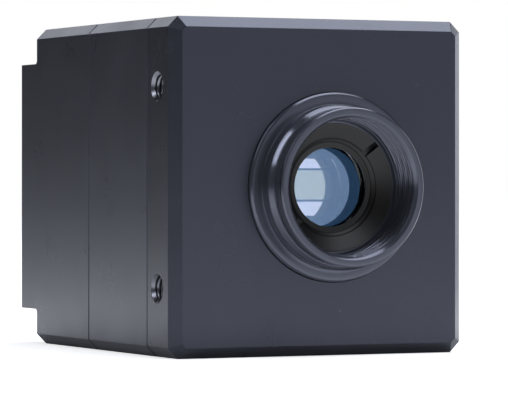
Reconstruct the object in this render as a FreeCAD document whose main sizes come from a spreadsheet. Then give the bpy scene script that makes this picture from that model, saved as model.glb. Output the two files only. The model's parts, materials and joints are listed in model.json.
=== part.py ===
import FreeCAD, Part
import Sketcher
import os
from math import cos, pi, sin, sqrt

# Machine vision camera with a C-mount lens opening, in millimetres.
# The optical axis is the Y axis and looks along -Y. The origin is the point where that axis
# crosses the front rim of the lens mount, the face on which a lens seats. +X is to the right
# seen from the front, and +Z is up.

SIZES = {
    # housing, three blocks bolted together behind one another
    "body_width": 58.0,
    "body_height": 60.0,
    "lens_offset": 2.6,          # the lens axis lies this far to the right of the housing's middle
    "mount_reach": 7.5,          # rim of the lens mount ahead of the front face
    "front_depth": 10.9,
    "middle_depth": 26.7,
    "rear_depth": 25.7,          # up to the floor of the corner notches
    "rear_rise": 8.4,            # cross-shaped rear block beyond the notches
    "corner_chamfer": 1.9,
    "front_chamfer": 1.9,
    "seam_chamfer": 0.25,
    "rear_chamfer": 0.6,
    "wall": 3.0,
    "pillar_cut": 8.0,           # solid corner that carries the long screw
    "notch": 6.6,
    "notch_fillet": 0.8,
    "notch_floor": 4.0,
    "rear_wall": 4.0,
    "rise_room_half_width": 18.6,
    "rise_room_half_height": 20.0,
    # long corner screws
    "corner_inset": 3.3,
    "corner_thread": 2.5,
    "corner_head": 4.5,
    "corner_head_height": 2.5,
    "corner_hex": 2.0,
    "corner_hex_depth": 1.3,
    "corner_grip": 6.4,
    "screw_play": 0.4,           # clearance hole over a screw's shank, on the diameter
    "blind_end": 0.5,            # tapped hole deeper than its screw
    # side mounting threads, one pair on the left and one on the underside
    "side_thread": 4.2,
    "side_mouth": 5.3,
    "side_depth": 6.5,
    "side_pitch": 35.4,
    "side_setback": 6.55,        # behind the front face
    # lens mount
    "flange_radius": 16.9,
    "flange_height": 1.0,        # above the front face
    "flange_thickness": 3.0,
    "flange_edge": 0.35,
    "flange_play": 0.05,
    "collar_radius": 14.75,
    "shoulder_fillet": 0.7,
    "band_radius": 13.95,         # plain band between the collar and the groove
    "band_end": 3.1,
    "groove_radius": 13.6,
    "groove_start": 0.5,
    "groove_end": 1.15,
    "rim_radius": 14.1,
    "rim_edge": 0.25,
    "mouth_radius": 12.85,
    "thread_radius": 12.3,
    "thread_depth": 7.15,
    "ring_radius": 11.43,
    "spigot_radius": 13.1,
    "spigot_lip": 0.8,           # wall behind the ledge that the filter seal rests on
    "bore_play": 0.1,
    "mount_screw_circle": 15.1,
    "mount_screw_thread": 2.0,
    "mount_screw_head": 3.6,
    "mount_screw_head_height": 1.3,
    "mount_screw_grip": 2.2,
    "mount_web": 2.0,            # front wall left between the flange seat and the sensor room
    # retaining ring, a dished baffle with two steps and a spanner slot on each side
    "baffle_play": 0.03,
    "baffle_lip": 0.4,
    "baffle_relief": 0.7,        # behind the lip, so that only the ring's rim touches the glass
    "baffle_relief_radius": 8.2,
    "baffle_step_outer": 8.75,
    "baffle_step_inner": 8.05,
    "baffle_step_outer_depth": 1.15,
    "baffle_step_inner_depth": 1.7,
    "baffle_step_rise": 0.2,
    "aperture_radius": 7.08,
    "aperture_depth": 2.05,      # behind the front of the ring
    "slot_width": 1.2,
    "slot_start": 7.9,
    "slot_depth": 1.5,
    "slot_angle": 43.0,
    # filter glass and its seal
    "filter_radius": 9.5,
    "filter_thickness": 3.4,
    "filter_play": 0.05,
    "seal_width": 1.3,
    "seal_thickness": 0.4,
    # image sensor: its face lies at the mount's back focus, moved back by the filter's glass
    "back_focus": 17.526,
    "package_width": 24.0,
    "package_height": 21.0,
    "package_front": 0.93,       # front of the frame ahead of the die's face
    "package_wall": 2.6,
    "die_thickness": 0.6,
    "die_width": 14.6,
    "die_height": 10.3,
    "cover_thickness": 0.7,
    "cover_border": 0.8,
    "sensor_room_half": 16.5,
    # circuit boards and what carries them
    "board_thickness": 1.6,
    "board_gap": 2.0,            # all round the two larger boards
    "board_screw_x": 14.0,
    "board_screw_inset": 2.6,    # from the upper and lower edges of the two larger boards
    "spacer_length": 2.0,
    "spacer_radius": 2.3,
    "board_thread": 2.0,
    "board_head": 3.8,
    "board_head_height": 1.3,
    "board_hex": 1.5,
    "board_hex_depth": 0.7,
    "board_grip": 3.6,
    "wall_grip": 1.8,            # interface screws in the rear wall
    "bulkhead_start": 6.0,       # behind the front of the middle block
    "bulkhead_thickness": 3.0,
    "window_width": 22.0,
    "window_height": 9.0,
    "window_drop": 16.5,
    "chip_side": 23.0,
    "chip_thickness": 2.0,
    "pad_side": 20.0,
    "pad_thickness": 1.6,
    "link_width": 18.0,
    "link_height": 5.0,
    "interface_half_width": 18.0,
    "interface_half_height": 19.0,
    "interface_cut": 1.0,
    "interface_screw_x": 15.5,
    "interface_screw_z": 16.5,
    "interface_standoff": 15.0,
    "cable_socket_depth": 4.0,
    "cable_width": 14.0,
    "cable_thickness": 0.4,
    "cable_bow": 2.4,
    "cable_height": 13.0,
    # seals in the two seams
    "gasket_gap": 0.7,
    "gasket_width": 1.2,
    "gasket_depth": 0.9,
    # data socket
    "data_width": 16.0,
    "data_height": 13.4,
    "data_shell": 0.4,
    "data_drop": 7.0,
    "data_proud": 0.3,
    "socket_play": 0.2,
    "data_mouth_width": 11.8,
    "data_mouth_height": 7.0,
    "data_latch_width": 6.2,
    "data_latch_height": 1.6,
    "data_hook_width": 3.6,
    "data_hook_height": 1.3,
    "data_mouth_depth": 13.0,
    "data_contact_pitch": 1.02,
    "data_contact_width": 0.4,
    "data_contact_height": 0.7,
    "data_contact_length": 9.0,
    "lock_thread": 2.5,
    "lock_pitch": 21.5,
    # power and trigger socket, 12 pins
    "power_side": 6.4,
    "power_lift": 9.6,
    "power_barrel": 5.5,
    "power_bore": 4.7,
    "power_flange": 6.8,
    "power_flange_thickness": 1.2,
    "power_reach": 6.4,
    "power_tail": 3.2,
    "power_core_recess": 4.2,
    "power_nut": 7.0,
    "power_nut_thickness": 1.8,
    "pin_radius": 0.35,
    "pin_outer_circle": 3.3,
    "pin_inner_circle": 1.3,
    "pin_recess": 1.0,           # tips behind the barrel's mouth
    "pin_tail": 1.6,
    # status light
    "light_side": 9.6,
    "light_lift": 13.4,
    "light_radius": 1.5,
    "light_proud": 0.3,
}

document = FreeCAD.newDocument("Camera")
sheet = document.addObject("Spreadsheet::Sheet", "Sizes")
for row, (alias, number) in enumerate(SIZES.items(), start=1):
    sheet.set(f"A{row}", alias)
    sheet.set(f"B{row}", str(number))
    sheet.setAlias(f"B{row}", alias)
document.recompute()


class Length:
    """A number together with the spreadsheet expression that gives it."""

    def __init__(self, value, text):
        self.value = float(value)
        self.text = text

    @staticmethod
    def of(other):
        if isinstance(other, Length):
            return other
        return Length(other, f"{other}" if other >= 0 else f"({other})")

    def __add__(self, other):
        other = Length.of(other)
        return Length(self.value + other.value, f"({self.text} + {other.text})")

    def __radd__(self, other):
        return Length.of(other) + self

    def __sub__(self, other):
        other = Length.of(other)
        return Length(self.value - other.value, f"({self.text} - {other.text})")

    def __rsub__(self, other):
        return Length.of(other) - self

    def __mul__(self, other):
        other = Length.of(other)
        return Length(self.value * other.value, f"({self.text} * {other.text})")

    def __rmul__(self, other):
        return Length.of(other) * self

    def __truediv__(self, other):
        other = Length.of(other)
        return Length(self.value / other.value, f"({self.text} / {other.text})")

    def __neg__(self):
        return Length(-self.value, f"(0 - {self.text})")


class Sizes:
    """The spreadsheet's cells by name."""

    def __init__(self, table):
        for alias, number in table.items():
            setattr(self, alias, Length(number, f"Sizes.{alias}"))


s = Sizes(SIZES)
ZERO = Length(0, "0")
GLASS_INDEX = 1.52
GLASS_SHIFT = 1 - 1 / GLASS_INDEX    # share of a plate's thickness by which it moves the image
DIGITS = 9                           # decimal places kept of a sine or cosine
OUTER_PINS = 9                       # of the twelve in the power socket
INNER_PINS = 3
DATA_CONTACTS = 8

# depths along the optical axis, all from the rim of the lens mount
FRONT = s.mount_reach
FIRST_SEAM = FRONT + s.front_depth
SECOND_SEAM = FIRST_SEAM + s.middle_depth
NOTCH_FLOOR = SECOND_SEAM + s.rear_depth
REAR = NOTCH_FLOOR + s.rear_rise
REAR_INSIDE = REAR - s.rear_wall
MIDDLE_X = -s.lens_offset
HALF_WIDTH = s.body_width / 2
HALF_HEIGHT = s.body_height / 2
ROOM_HALF_WIDTH = HALF_WIDTH - s.wall
ROOM_HALF_HEIGHT = HALF_HEIGHT - s.wall
BOARD_HALF_WIDTH = ROOM_HALF_WIDTH - s.board_gap
BOARD_HALF_HEIGHT = ROOM_HALF_HEIGHT - s.board_gap
BOARD_CUT = s.pillar_cut - s.board_gap
BOARD_SCREW_Z = BOARD_HALF_HEIGHT - s.board_screw_inset
BULKHEAD_FRONT = FIRST_SEAM + s.bulkhead_start
BULKHEAD_REAR = BULKHEAD_FRONT + s.bulkhead_thickness
FLANGE_TOP = FRONT - s.flange_height
FLANGE_BACK = FLANGE_TOP + s.flange_thickness
SENSOR_ROOM_FLOOR = FLANGE_BACK + s.mount_web
APERTURE_FRONT = s.thread_depth + s.aperture_depth
LIP_BACK = APERTURE_FRONT + s.baffle_lip
FILTER_FRONT = LIP_BACK + s.baffle_relief
FILTER_BACK = FILTER_FRONT + s.filter_thickness
LEDGE = FILTER_BACK + s.seal_thickness
SPIGOT_END = LEDGE + s.spigot_lip
DIE_FRONT = s.back_focus + s.filter_thickness * GLASS_SHIFT
PACKAGE_FRONT = DIE_FRONT - s.package_front
SENSOR_BOARD_FRONT = FIRST_SEAM + s.spacer_length
SENSOR_BOARD_BACK = SENSOR_BOARD_FRONT + s.board_thickness
PROCESSOR_FRONT = BULKHEAD_REAR + s.pad_thickness + s.chip_thickness
PROCESSOR_BACK = PROCESSOR_FRONT + s.board_thickness
INTERFACE_BACK = REAR_INSIDE - s.interface_standoff
INTERFACE_FRONT = INTERFACE_BACK - s.board_thickness

# places on the rear wall and of the corner screws
DATA_X = MIDDLE_X
DATA_Z = -s.data_drop
POWER_X = MIDDLE_X - s.power_side
POWER_Z = s.power_lift
LIGHT_X = MIDDLE_X + s.light_side
LIGHT_Z = s.light_lift
CORNER_X = HALF_WIDTH - s.corner_inset
CORNER_Z = HALF_HEIGHT - s.corner_inset


# ---------------------------------------------------------------- building blocks

def new_body(label):
    """A PartDesign body that may hold several separate solids."""
    body = document.addObject("PartDesign::Body", label)
    body.Label = label
    body.AllowCompound = True
    body.Placement = FreeCAD.Placement()
    return body


def plane_of(body, role):
    """One of a body's own origin planes."""
    for feature in body.Origin.OriginFeatures:
        if feature.Role == role:
            return feature
    raise ValueError(role)


def pin(sketch, geometry, point, x, y):
    """Hold one point of a sketch at two expressions."""
    for kind, length in (("DistanceX", x), ("DistanceY", y)):
        if length.text == "0":
            axis = -2 if kind == "DistanceX" else -1
            sketch.addConstraint(Sketcher.Constraint("PointOnObject", geometry, point, axis))
        else:
            number = sketch.addConstraint(
                Sketcher.Constraint(kind, -1, 1, geometry, point, length.value))
            sketch.setExpression(f"Constraints[{number}]", length.text)


def polygon(sketch, corners):
    """A closed outline through corners given as pairs of lengths."""
    points = [FreeCAD.Vector(x.value, y.value, 0) for x, y in corners]
    first = sketch.GeometryCount
    count = len(points)
    for number in range(count):
        line = Part.LineSegment(points[number], points[(number + 1) % count])
        sketch.addGeometry(line, False)
    for number in range(count):
        following = first + (number + 1) % count
        sketch.addConstraint(Sketcher.Constraint("Coincident", first + number, 2, following, 1))
    for number, (x, y) in enumerate(corners):
        pin(sketch, first + number, 1, x, y)


def circle(sketch, x, y, radius):
    """A circle whose centre and radius are lengths."""
    centre = FreeCAD.Vector(x.value, y.value, 0)
    shape = Part.Circle(centre, FreeCAD.Vector(0, 0, 1), radius.value)
    geometry = sketch.addGeometry(shape, False)
    pin(sketch, geometry, 3, x, y)
    number = sketch.addConstraint(Sketcher.Constraint("Radius", geometry, radius.value))
    sketch.setExpression(f"Constraints[{number}]", radius.text)


def new_sketch(body, name, role, across, sideways=ZERO, upward=ZERO):
    """A sketch on an origin plane, moved along the plane's normal and in the plane."""
    sketch = body.newObject("Sketcher::SketchObject", f"{body.Name}_{name}")
    sketch.AttachmentSupport = (plane_of(body, role), [""])
    sketch.MapMode = "FlatFace"
    start = FreeCAD.Vector(sideways.value, upward.value, across.value)
    sketch.AttachmentOffset = FreeCAD.Placement(start, FreeCAD.Rotation())
    sketch.setExpression("AttachmentOffset.Base.x", sideways.text)
    sketch.setExpression("AttachmentOffset.Base.y", upward.text)
    sketch.setExpression("AttachmentOffset.Base.z", across.text)
    return sketch


def front_sketch(body, name, depth):
    """A sketch across the optical axis at a depth: its x is +X and its y is +Z."""
    return new_sketch(body, name, "XZ_Plane", -depth)


def extrude(body, name, kind, sketch, length, backward):
    """A Pad or Pocket; backward runs it against the feature's own direction."""
    feature = body.newObject(kind, f"{body.Name}_{name}")
    feature.Profile = sketch
    feature.Length = length.value
    feature.setExpression("Length", length.text)
    feature.Reversed = backward
    sketch.Visibility = False
    body.Tip = feature
    return feature


def pad_rearward(body, name, sketch, length):
    return extrude(body, name, "PartDesign::Pad", sketch, length, True)


def cut_rearward(body, name, sketch, length):
    return extrude(body, name, "PartDesign::Pocket", sketch, length, False)


def cut_forward(body, name, sketch, length):
    return extrude(body, name, "PartDesign::Pocket", sketch, length, True)


def block(body, name, start, end, draw):
    """Material between two depths, with the outline that draw puts in the sketch."""
    sketch = front_sketch(body, f"{name}_outline", start)
    draw(sketch)
    return pad_rearward(body, name, sketch, end - start)


def hollow(body, name, start, end, draw):
    """A space between two depths, with the outline that draw puts in the sketch."""
    sketch = front_sketch(body, f"{name}_outline", start)
    draw(sketch)
    return cut_rearward(body, name, sketch, end - start)


def turn(body, name, profile, x=ZERO, z=ZERO):
    """A solid of revolution round a line along Y; the profile holds (depth, radius) pairs."""
    sketch = new_sketch(body, f"{name}_profile", "YZ_Plane", x, ZERO, z)
    polygon(sketch, profile)
    feature = body.newObject("PartDesign::Revolution", f"{body.Name}_{name}")
    feature.Profile = sketch
    feature.ReferenceAxis = (sketch, ["H_Axis"])
    feature.Angle = 360.0
    sketch.Visibility = False
    body.Tip = feature
    return feature


def edges_where(feature, wanted):
    """Names of a feature's edges whose middle passes a test."""
    document.recompute()
    names = []
    for number, edge in enumerate(feature.Shape.Edges, start=1):
        middle = edge.valueAt((edge.FirstParameter + edge.LastParameter) / 2)
        if wanted(edge, middle):
            names.append(f"Edge{number}")
    return names


def dress(body, name, kind, names, size):
    """A Chamfer or Fillet of a size on named edges of the body's tip."""
    base = body.Tip
    feature = body.newObject(kind, f"{body.Name}_{name}")
    feature.Base = (base, names)
    text = "Size" if kind == "PartDesign::Chamfer" else "Radius"
    setattr(feature, text, size.value)
    feature.setExpression(text, size.text)
    body.Tip = feature
    return feature


def near(first, second):
    return abs(first - second) < 1e-4


# ---------------------------------------------------------------- outlines

def octagon(sketch, half_width, half_height, cut):
    """A rectangle about the housing's middle with its corners cut at 45 degrees."""
    signs = ((1, 1), (-1, 1), (-1, -1), (1, -1))
    corners = []
    for number, (side, height) in enumerate(signs):
        flat = (MIDDLE_X + side * (half_width - cut), height * half_height)
        steep = (MIDDLE_X + side * half_width, height * (half_height - cut))
        corners += [steep, flat] if number % 2 == 0 else [flat, steep]
    polygon(sketch, corners)


def grown_octagon(sketch, growth):
    """The outline of the room inside the housing, moved outward all round."""
    cut = s.pillar_cut + growth * (2 - sqrt(2))
    octagon(sketch, ROOM_HALF_WIDTH + growth, ROOM_HALF_HEIGHT + growth, cut)


def room_outline(sketch):
    grown_octagon(sketch, ZERO)


def rectangle(sketch, x, z, half_width, half_height):
    polygon(sketch, [(x + half_width, z + half_height), (x - half_width, z + half_height),
                     (x - half_width, z - half_height), (x + half_width, z - half_height)])


def four_circles(sketch, away_x, away_z, radius):
    """One circle in each quarter, about the housing's middle."""
    for side in (1, -1):
        for height in (1, -1):
            circle(sketch, MIDDLE_X + side * away_x, height * away_z, radius)


def hexagon(sketch, x, z, across_flats):
    """A hexagon with two of its corners up and down."""
    outer = across_flats / sqrt(3)
    corners = []
    for number in range(6):
        angle = pi / 6 + number * pi / 3
        corners.append((x + outer * round(cos(angle), DIGITS),
                        z + outer * round(sin(angle), DIGITS)))
    polygon(sketch, corners)


def corner_holes(body, name, start, end, diameter):
    return hollow(body, name, start, end,
                  lambda sketch: four_circles(sketch, CORNER_X, CORNER_Z, diameter / 2))


def seam_edges(body, name, depths):
    """A small break round the outside of a block at its seams."""
    def outer(edge, middle):
        across = abs(middle.x - MIDDLE_X.value)
        up = abs(middle.z)
        rim = near(across, HALF_WIDTH.value) or near(up, HALF_HEIGHT.value)
        corner = HALF_WIDTH.value + HALF_HEIGHT.value - s.corner_chamfer.value
        bevel = near(across + up, corner)
        straight = edge.Curve.TypeId == "Part::GeomLine"
        at_seam = any(near(middle.y, depth.value) for depth in depths)
        along = near(edge.Vertexes[0].Y, edge.Vertexes[-1].Y)
        return straight and at_seam and along and (rim or bevel)
    return dress(body, name, "PartDesign::Chamfer", edges_where(body.Tip, outer),
                 s.seam_chamfer)


def housing_outline(sketch):
    octagon(sketch, HALF_WIDTH, HALF_HEIGHT, s.corner_chamfer)


# ---------------------------------------------------------------- housing

def side_threads(body):
    """A pair of tapped mounting holes on the left and on the underside."""
    depth = FRONT + s.side_setback
    sides = (("left", "YZ_Plane", MIDDLE_X - HALF_WIDTH), ("under", "XY_Plane", -HALF_HEIGHT))
    for name, role, across in sides:
        sketch = new_sketch(body, f"{name}_threads", role, across)
        for way in (1, -1):
            if role == "YZ_Plane":
                circle(sketch, depth, way * s.side_pitch / 2, s.side_thread / 2)
            else:
                circle(sketch, MIDDLE_X + way * s.side_pitch / 2, depth, s.side_thread / 2)
        extrude(body, f"{name}_tapped", "PartDesign::Pocket", sketch, s.side_depth, True)

    def mouth(edge, middle):
        if edge.Curve.TypeId != "Part::GeomCircle":
            return False
        if not near(edge.Curve.Radius, s.side_thread.value / 2):
            return False
        centre = edge.Curve.Center
        on_side = near(centre.x, (MIDDLE_X - HALF_WIDTH).value)
        return on_side or near(centre.z, -HALF_HEIGHT.value)
    dress(body, "thread_mouths", "PartDesign::Chamfer", edges_where(body.Tip, mouth),
          (s.side_mouth - s.side_thread) / 2)


def front_housing():
    body = new_body("front_housing")
    block(body, "block", FRONT, FIRST_SEAM, housing_outline)
    rim = edges_where(body.Tip, lambda edge, middle: near(middle.y, FRONT.value))
    dress(body, "front_bevel", "PartDesign::Chamfer", rim, s.front_chamfer)
    seam_edges(body, "seam", [FIRST_SEAM])
    hollow(body, "flange_seat", FRONT, FLANGE_BACK,
           lambda sketch: circle(sketch, ZERO, ZERO, s.flange_radius + s.flange_play))
    hollow(body, "mount_bore", FLANGE_BACK, FIRST_SEAM,
           lambda sketch: circle(sketch, ZERO, ZERO, s.spigot_radius + s.bore_play))
    hollow(body, "sensor_room", SENSOR_ROOM_FLOOR, FIRST_SEAM,
           lambda sketch: rectangle(sketch, ZERO, ZERO, s.sensor_room_half, s.sensor_room_half))
    hollow(body, "mount_screw_holes", FLANGE_BACK, SENSOR_ROOM_FLOOR,
           lambda sketch: ring_of_circles(sketch, (s.mount_screw_thread + s.screw_play) / 2))
    corner_holes(body, "corner_threads", FIRST_SEAM - s.corner_grip - s.blind_end,
                 FIRST_SEAM, s.corner_thread)
    hollow(body, "board_threads", FIRST_SEAM - s.board_grip - s.blind_end, FIRST_SEAM,
           lambda sketch: four_circles(sketch, s.board_screw_x, BOARD_SCREW_Z,
                                       s.board_thread / 2))
    side_threads(body)


def ring_of_circles(sketch, radius):
    """Four circles on the mount's screw circle, on its diagonals."""
    reach = s.mount_screw_circle / sqrt(2)
    for side in (1, -1):
        for height in (1, -1):
            circle(sketch, side * reach, height * reach, radius)


def middle_housing():
    body = new_body("middle_housing")
    block(body, "block", FIRST_SEAM, SECOND_SEAM, housing_outline)
    seam_edges(body, "seam", [FIRST_SEAM, SECOND_SEAM])
    hollow(body, "front_room", FIRST_SEAM, BULKHEAD_FRONT, room_outline)
    hollow(body, "rear_room", BULKHEAD_REAR, SECOND_SEAM, room_outline)
    hollow(body, "link_window", BULKHEAD_FRONT, BULKHEAD_REAR,
           lambda sketch: rectangle(sketch, MIDDLE_X, -s.window_drop,
                                    s.window_width / 2, s.window_height / 2))
    hollow(body, "board_threads", BULKHEAD_FRONT, BULKHEAD_REAR,
           lambda sketch: four_circles(sketch, s.board_screw_x, BOARD_SCREW_Z,
                                       s.board_thread / 2))
    gasket_groove(body, FIRST_SEAM)
    corner_holes(body, "corner_clearance", FIRST_SEAM, SECOND_SEAM,
                 s.corner_thread + s.screw_play)


def gasket_outline(sketch):
    grown_octagon(sketch, s.gasket_gap)
    grown_octagon(sketch, s.gasket_gap + s.gasket_width)


def gasket_groove(body, seam):
    """The groove for a seam's seal, cut into the front of the block behind the seam."""
    hollow(body, "gasket_groove", seam, seam + s.gasket_depth, gasket_outline)


def gasket(label, seam):
    body = new_body(label)
    block(body, "ring", seam, seam + s.gasket_depth, gasket_outline)


def cross(sketch):
    """The raised rear block: the housing's outline less a square notch at each corner."""
    arm_x = HALF_WIDTH - s.notch
    arm_z = HALF_HEIGHT - s.notch
    signs = ((1, 1), (-1, 1), (-1, -1), (1, -1))
    corners = []
    for number, (side, height) in enumerate(signs):
        side_arm = (MIDDLE_X + side * HALF_WIDTH, height * arm_z)
        inner = (MIDDLE_X + side * arm_x, height * arm_z)
        end_arm = (MIDDLE_X + side * arm_x, height * HALF_HEIGHT)
        corners += [side_arm, inner, end_arm] if number % 2 == 0 else [end_arm, inner, side_arm]
    polygon(sketch, corners)


def rear_housing():
    body = new_body("rear_housing")
    block(body, "block", SECOND_SEAM, NOTCH_FLOOR, housing_outline)
    block(body, "rise", NOTCH_FLOOR, REAR, cross)
    rim = edges_where(body.Tip, lambda edge, middle: near(middle.y, REAR.value))
    dress(body, "rear_bevel", "PartDesign::Chamfer", rim, s.rear_chamfer)

    def notch_corner(edge, middle):
        at_floor = near(middle.y, NOTCH_FLOOR.value)
        inside_x = near(abs(middle.x - MIDDLE_X.value), HALF_WIDTH.value - s.notch.value)
        inside_z = near(abs(middle.z), HALF_HEIGHT.value - s.notch.value)
        return at_floor and (inside_x or inside_z)
    dress(body, "notch_radius", "PartDesign::Fillet", edges_where(body.Tip, notch_corner),
          s.notch_fillet)
    seam_edges(body, "seam", [SECOND_SEAM])
    hollow(body, "room", SECOND_SEAM, NOTCH_FLOOR - s.notch_floor, room_outline)
    hollow(body, "rise_room", NOTCH_FLOOR - s.notch_floor, REAR_INSIDE,
           lambda sketch: rectangle(sketch, MIDDLE_X, ZERO,
                                    s.rise_room_half_width, s.rise_room_half_height))
    gasket_groove(body, SECOND_SEAM)
    corner_holes(body, "corner_clearance", SECOND_SEAM, NOTCH_FLOOR,
                 s.corner_thread + s.screw_play)
    hollow(body, "board_threads", REAR_INSIDE, REAR_INSIDE + s.wall_grip + s.blind_end,
           lambda sketch: four_circles(sketch, s.interface_screw_x, s.interface_screw_z,
                                       s.board_thread / 2))
    hollow(body, "data_cutout", REAR_INSIDE, REAR, data_cutout)
    hollow(body, "power_cutout", REAR_INSIDE, REAR,
           lambda sketch: circle(sketch, POWER_X, POWER_Z, s.power_barrel + s.socket_play))
    hollow(body, "light_cutout", REAR_INSIDE, REAR,
           lambda sketch: circle(sketch, LIGHT_X, LIGHT_Z, s.light_radius))
    hollow(body, "lock_threads", REAR_INSIDE, REAR, lock_threads)


def data_cutout(sketch):
    rectangle(sketch, DATA_X, DATA_Z, s.data_width / 2 + s.socket_play,
              s.data_height / 2 + s.socket_play)


def lock_threads(sketch):
    for side in (1, -1):
        circle(sketch, DATA_X + side * s.lock_pitch / 2, DATA_Z, s.lock_thread / 2)


# ---------------------------------------------------------------- screws, spacers

def screws(label, head_start, head_end, shank_end, draw_heads, draw_shanks, draw_sockets,
           socket_start, socket_end):
    """A group of equal screws along Y, each a separate solid with a hexagon socket."""
    body = new_body(label)
    low = head_start if head_start.value < head_end.value else head_end
    high = head_end if head_start.value < head_end.value else head_start
    block(body, "heads", low, high, draw_heads)
    if shank_end.value > high.value:
        block(body, "shanks", high, shank_end, draw_shanks)
    else:
        block(body, "shanks", shank_end, low, draw_shanks)
    hollow(body, "sockets", socket_start, socket_end, draw_sockets)
    return body


def four_hexagons(sketch, away_x, away_z, across_flats):
    for side in (1, -1):
        for height in (1, -1):
            hexagon(sketch, MIDDLE_X + side * away_x, height * away_z, across_flats)


def corner_screws():
    """The four long screws in the rear notches that clamp the three blocks together."""
    top = NOTCH_FLOOR + s.corner_head_height
    screws("corner_screws", NOTCH_FLOOR, top, FIRST_SEAM - s.corner_grip,
           lambda sketch: four_circles(sketch, CORNER_X, CORNER_Z, s.corner_head / 2),
           lambda sketch: four_circles(sketch, CORNER_X, CORNER_Z, s.corner_thread / 2),
           lambda sketch: four_hexagons(sketch, CORNER_X, CORNER_Z, s.corner_hex),
           top - s.corner_hex_depth, top)


def board_screws(label, head_start, direction, shank_end, away_x, away_z):
    """Four pan-head screws through a circuit board; direction is where the head points."""
    head_end = head_start + direction * s.board_head_height
    start = head_end - s.board_hex_depth if direction > 0 else head_end
    screws(label, head_start, head_end, shank_end,
           lambda sketch: four_circles(sketch, away_x, away_z, s.board_head / 2),
           lambda sketch: four_circles(sketch, away_x, away_z, s.board_thread / 2),
           lambda sketch: four_hexagons(sketch, away_x, away_z, s.board_hex),
           start, start + s.board_hex_depth)


def spacers(label, start, end, away_x, away_z):
    """Four tubes that hold a circuit board off its seat."""
    body = new_body(label)

    def tubes(sketch):
        four_circles(sketch, away_x, away_z, s.spacer_radius)
        four_circles(sketch, away_x, away_z, (s.board_thread + s.screw_play) / 2)
    block(body, "tubes", start, end, tubes)


def mount_screws():
    """Four screws from inside the front block into the flange of the lens mount."""
    body = new_body("mount_screws")
    head_end = SENSOR_ROOM_FLOOR + s.mount_screw_head_height
    block(body, "heads", SENSOR_ROOM_FLOOR, head_end,
          lambda sketch: ring_of_circles(sketch, s.mount_screw_head / 2))
    block(body, "shanks", FLANGE_BACK - s.mount_screw_grip, SENSOR_ROOM_FLOOR,
          lambda sketch: ring_of_circles(sketch, s.mount_screw_thread / 2))


# ---------------------------------------------------------------- lens mount and optics

def lens_mount():
    """Flange, rounded collar, grooved rim and threaded bore, turned from one piece."""
    body = new_body("lens_mount")
    lip = s.filter_radius - s.seal_width
    turn(body, "turning", [
        (s.mouth_radius - s.thread_radius, s.thread_radius),
        (ZERO, s.mouth_radius),
        (ZERO, s.rim_radius - s.rim_edge),
        (s.rim_edge, s.rim_radius),
        (s.groove_start, s.rim_radius),
        (s.groove_start, s.groove_radius),
        (s.groove_end, s.groove_radius),
        (s.groove_end, s.band_radius),
        (s.band_end, s.band_radius),
        (s.band_end, s.collar_radius),
        (FLANGE_TOP, s.collar_radius),
        (FLANGE_TOP, s.flange_radius - s.flange_edge),
        (FLANGE_TOP + s.flange_edge, s.flange_radius),
        (FLANGE_BACK, s.flange_radius),
        (FLANGE_BACK, s.spigot_radius),
        (SPIGOT_END, s.spigot_radius),
        (SPIGOT_END, lip),
        (LEDGE, lip),
        (LEDGE, s.filter_radius + s.filter_play),
        (FILTER_FRONT, s.filter_radius + s.filter_play),
        (FILTER_FRONT, s.ring_radius + s.baffle_play),
        (s.thread_depth, s.ring_radius + s.baffle_play),
        (s.thread_depth, s.thread_radius),
    ])

    def shoulder(edge, middle):
        round_edge = edge.Curve.TypeId == "Part::GeomCircle"
        return (round_edge and near(edge.Curve.Radius, s.collar_radius.value)
                and near(middle.y, s.band_end.value))
    dress(body, "shoulder", "PartDesign::Fillet", edges_where(body.Tip, shoulder),
          s.shoulder_fillet)
    hollow(body, "screw_threads", FLANGE_BACK - s.mount_screw_grip, FLANGE_BACK,
           lambda sketch: ring_of_circles(sketch, s.mount_screw_thread / 2))


def retaining_ring():
    """Dished ring that holds the filter, stepped against stray light, with spanner slots."""
    body = new_body("retaining_ring")
    front = s.thread_depth
    outer_step = front + s.baffle_step_outer_depth
    inner_step = front + s.baffle_step_inner_depth
    turn(body, "dish", [
        (front, s.ring_radius),
        (outer_step, s.baffle_step_outer),
        (outer_step + s.baffle_step_rise, s.baffle_step_outer),
        (inner_step, s.baffle_step_inner),
        (inner_step + s.baffle_step_rise, s.baffle_step_inner),
        (APERTURE_FRONT, s.aperture_radius),
        (LIP_BACK, s.aperture_radius),
        (LIP_BACK, s.baffle_relief_radius),
        (FILTER_FRONT, s.baffle_relief_radius),
        (FILTER_FRONT, s.ring_radius),
    ])
    angle = SIZES["slot_angle"] * pi / 180
    along = (round(cos(angle), DIGITS), round(sin(angle), DIGITS))
    across = (-along[1], along[0])
    half = s.slot_width / 2

    def slots(sketch):
        for way in (1, -1):
            corners = []
            for reach, side in ((s.slot_start, -1), (s.ring_radius + 1, -1),
                                (s.ring_radius + 1, 1), (s.slot_start, 1)):
                x = way * (reach * along[0] + side * half * across[0])
                z = way * (reach * along[1] + side * half * across[1])
                corners.append((x, z))
            polygon(sketch, corners)
    hollow(body, "slots", front, front + s.slot_depth, slots)


def filter_window():
    body = new_body("filter_window")
    block(body, "glass", FILTER_FRONT, FILTER_BACK,
          lambda sketch: circle(sketch, ZERO, ZERO, s.filter_radius))


def filter_seal():
    body = new_body("filter_seal")

    def ring(sketch):
        circle(sketch, ZERO, ZERO, s.filter_radius)
        circle(sketch, ZERO, ZERO, s.filter_radius - s.seal_width)
    block(body, "ring", FILTER_BACK, LEDGE, ring)


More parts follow.
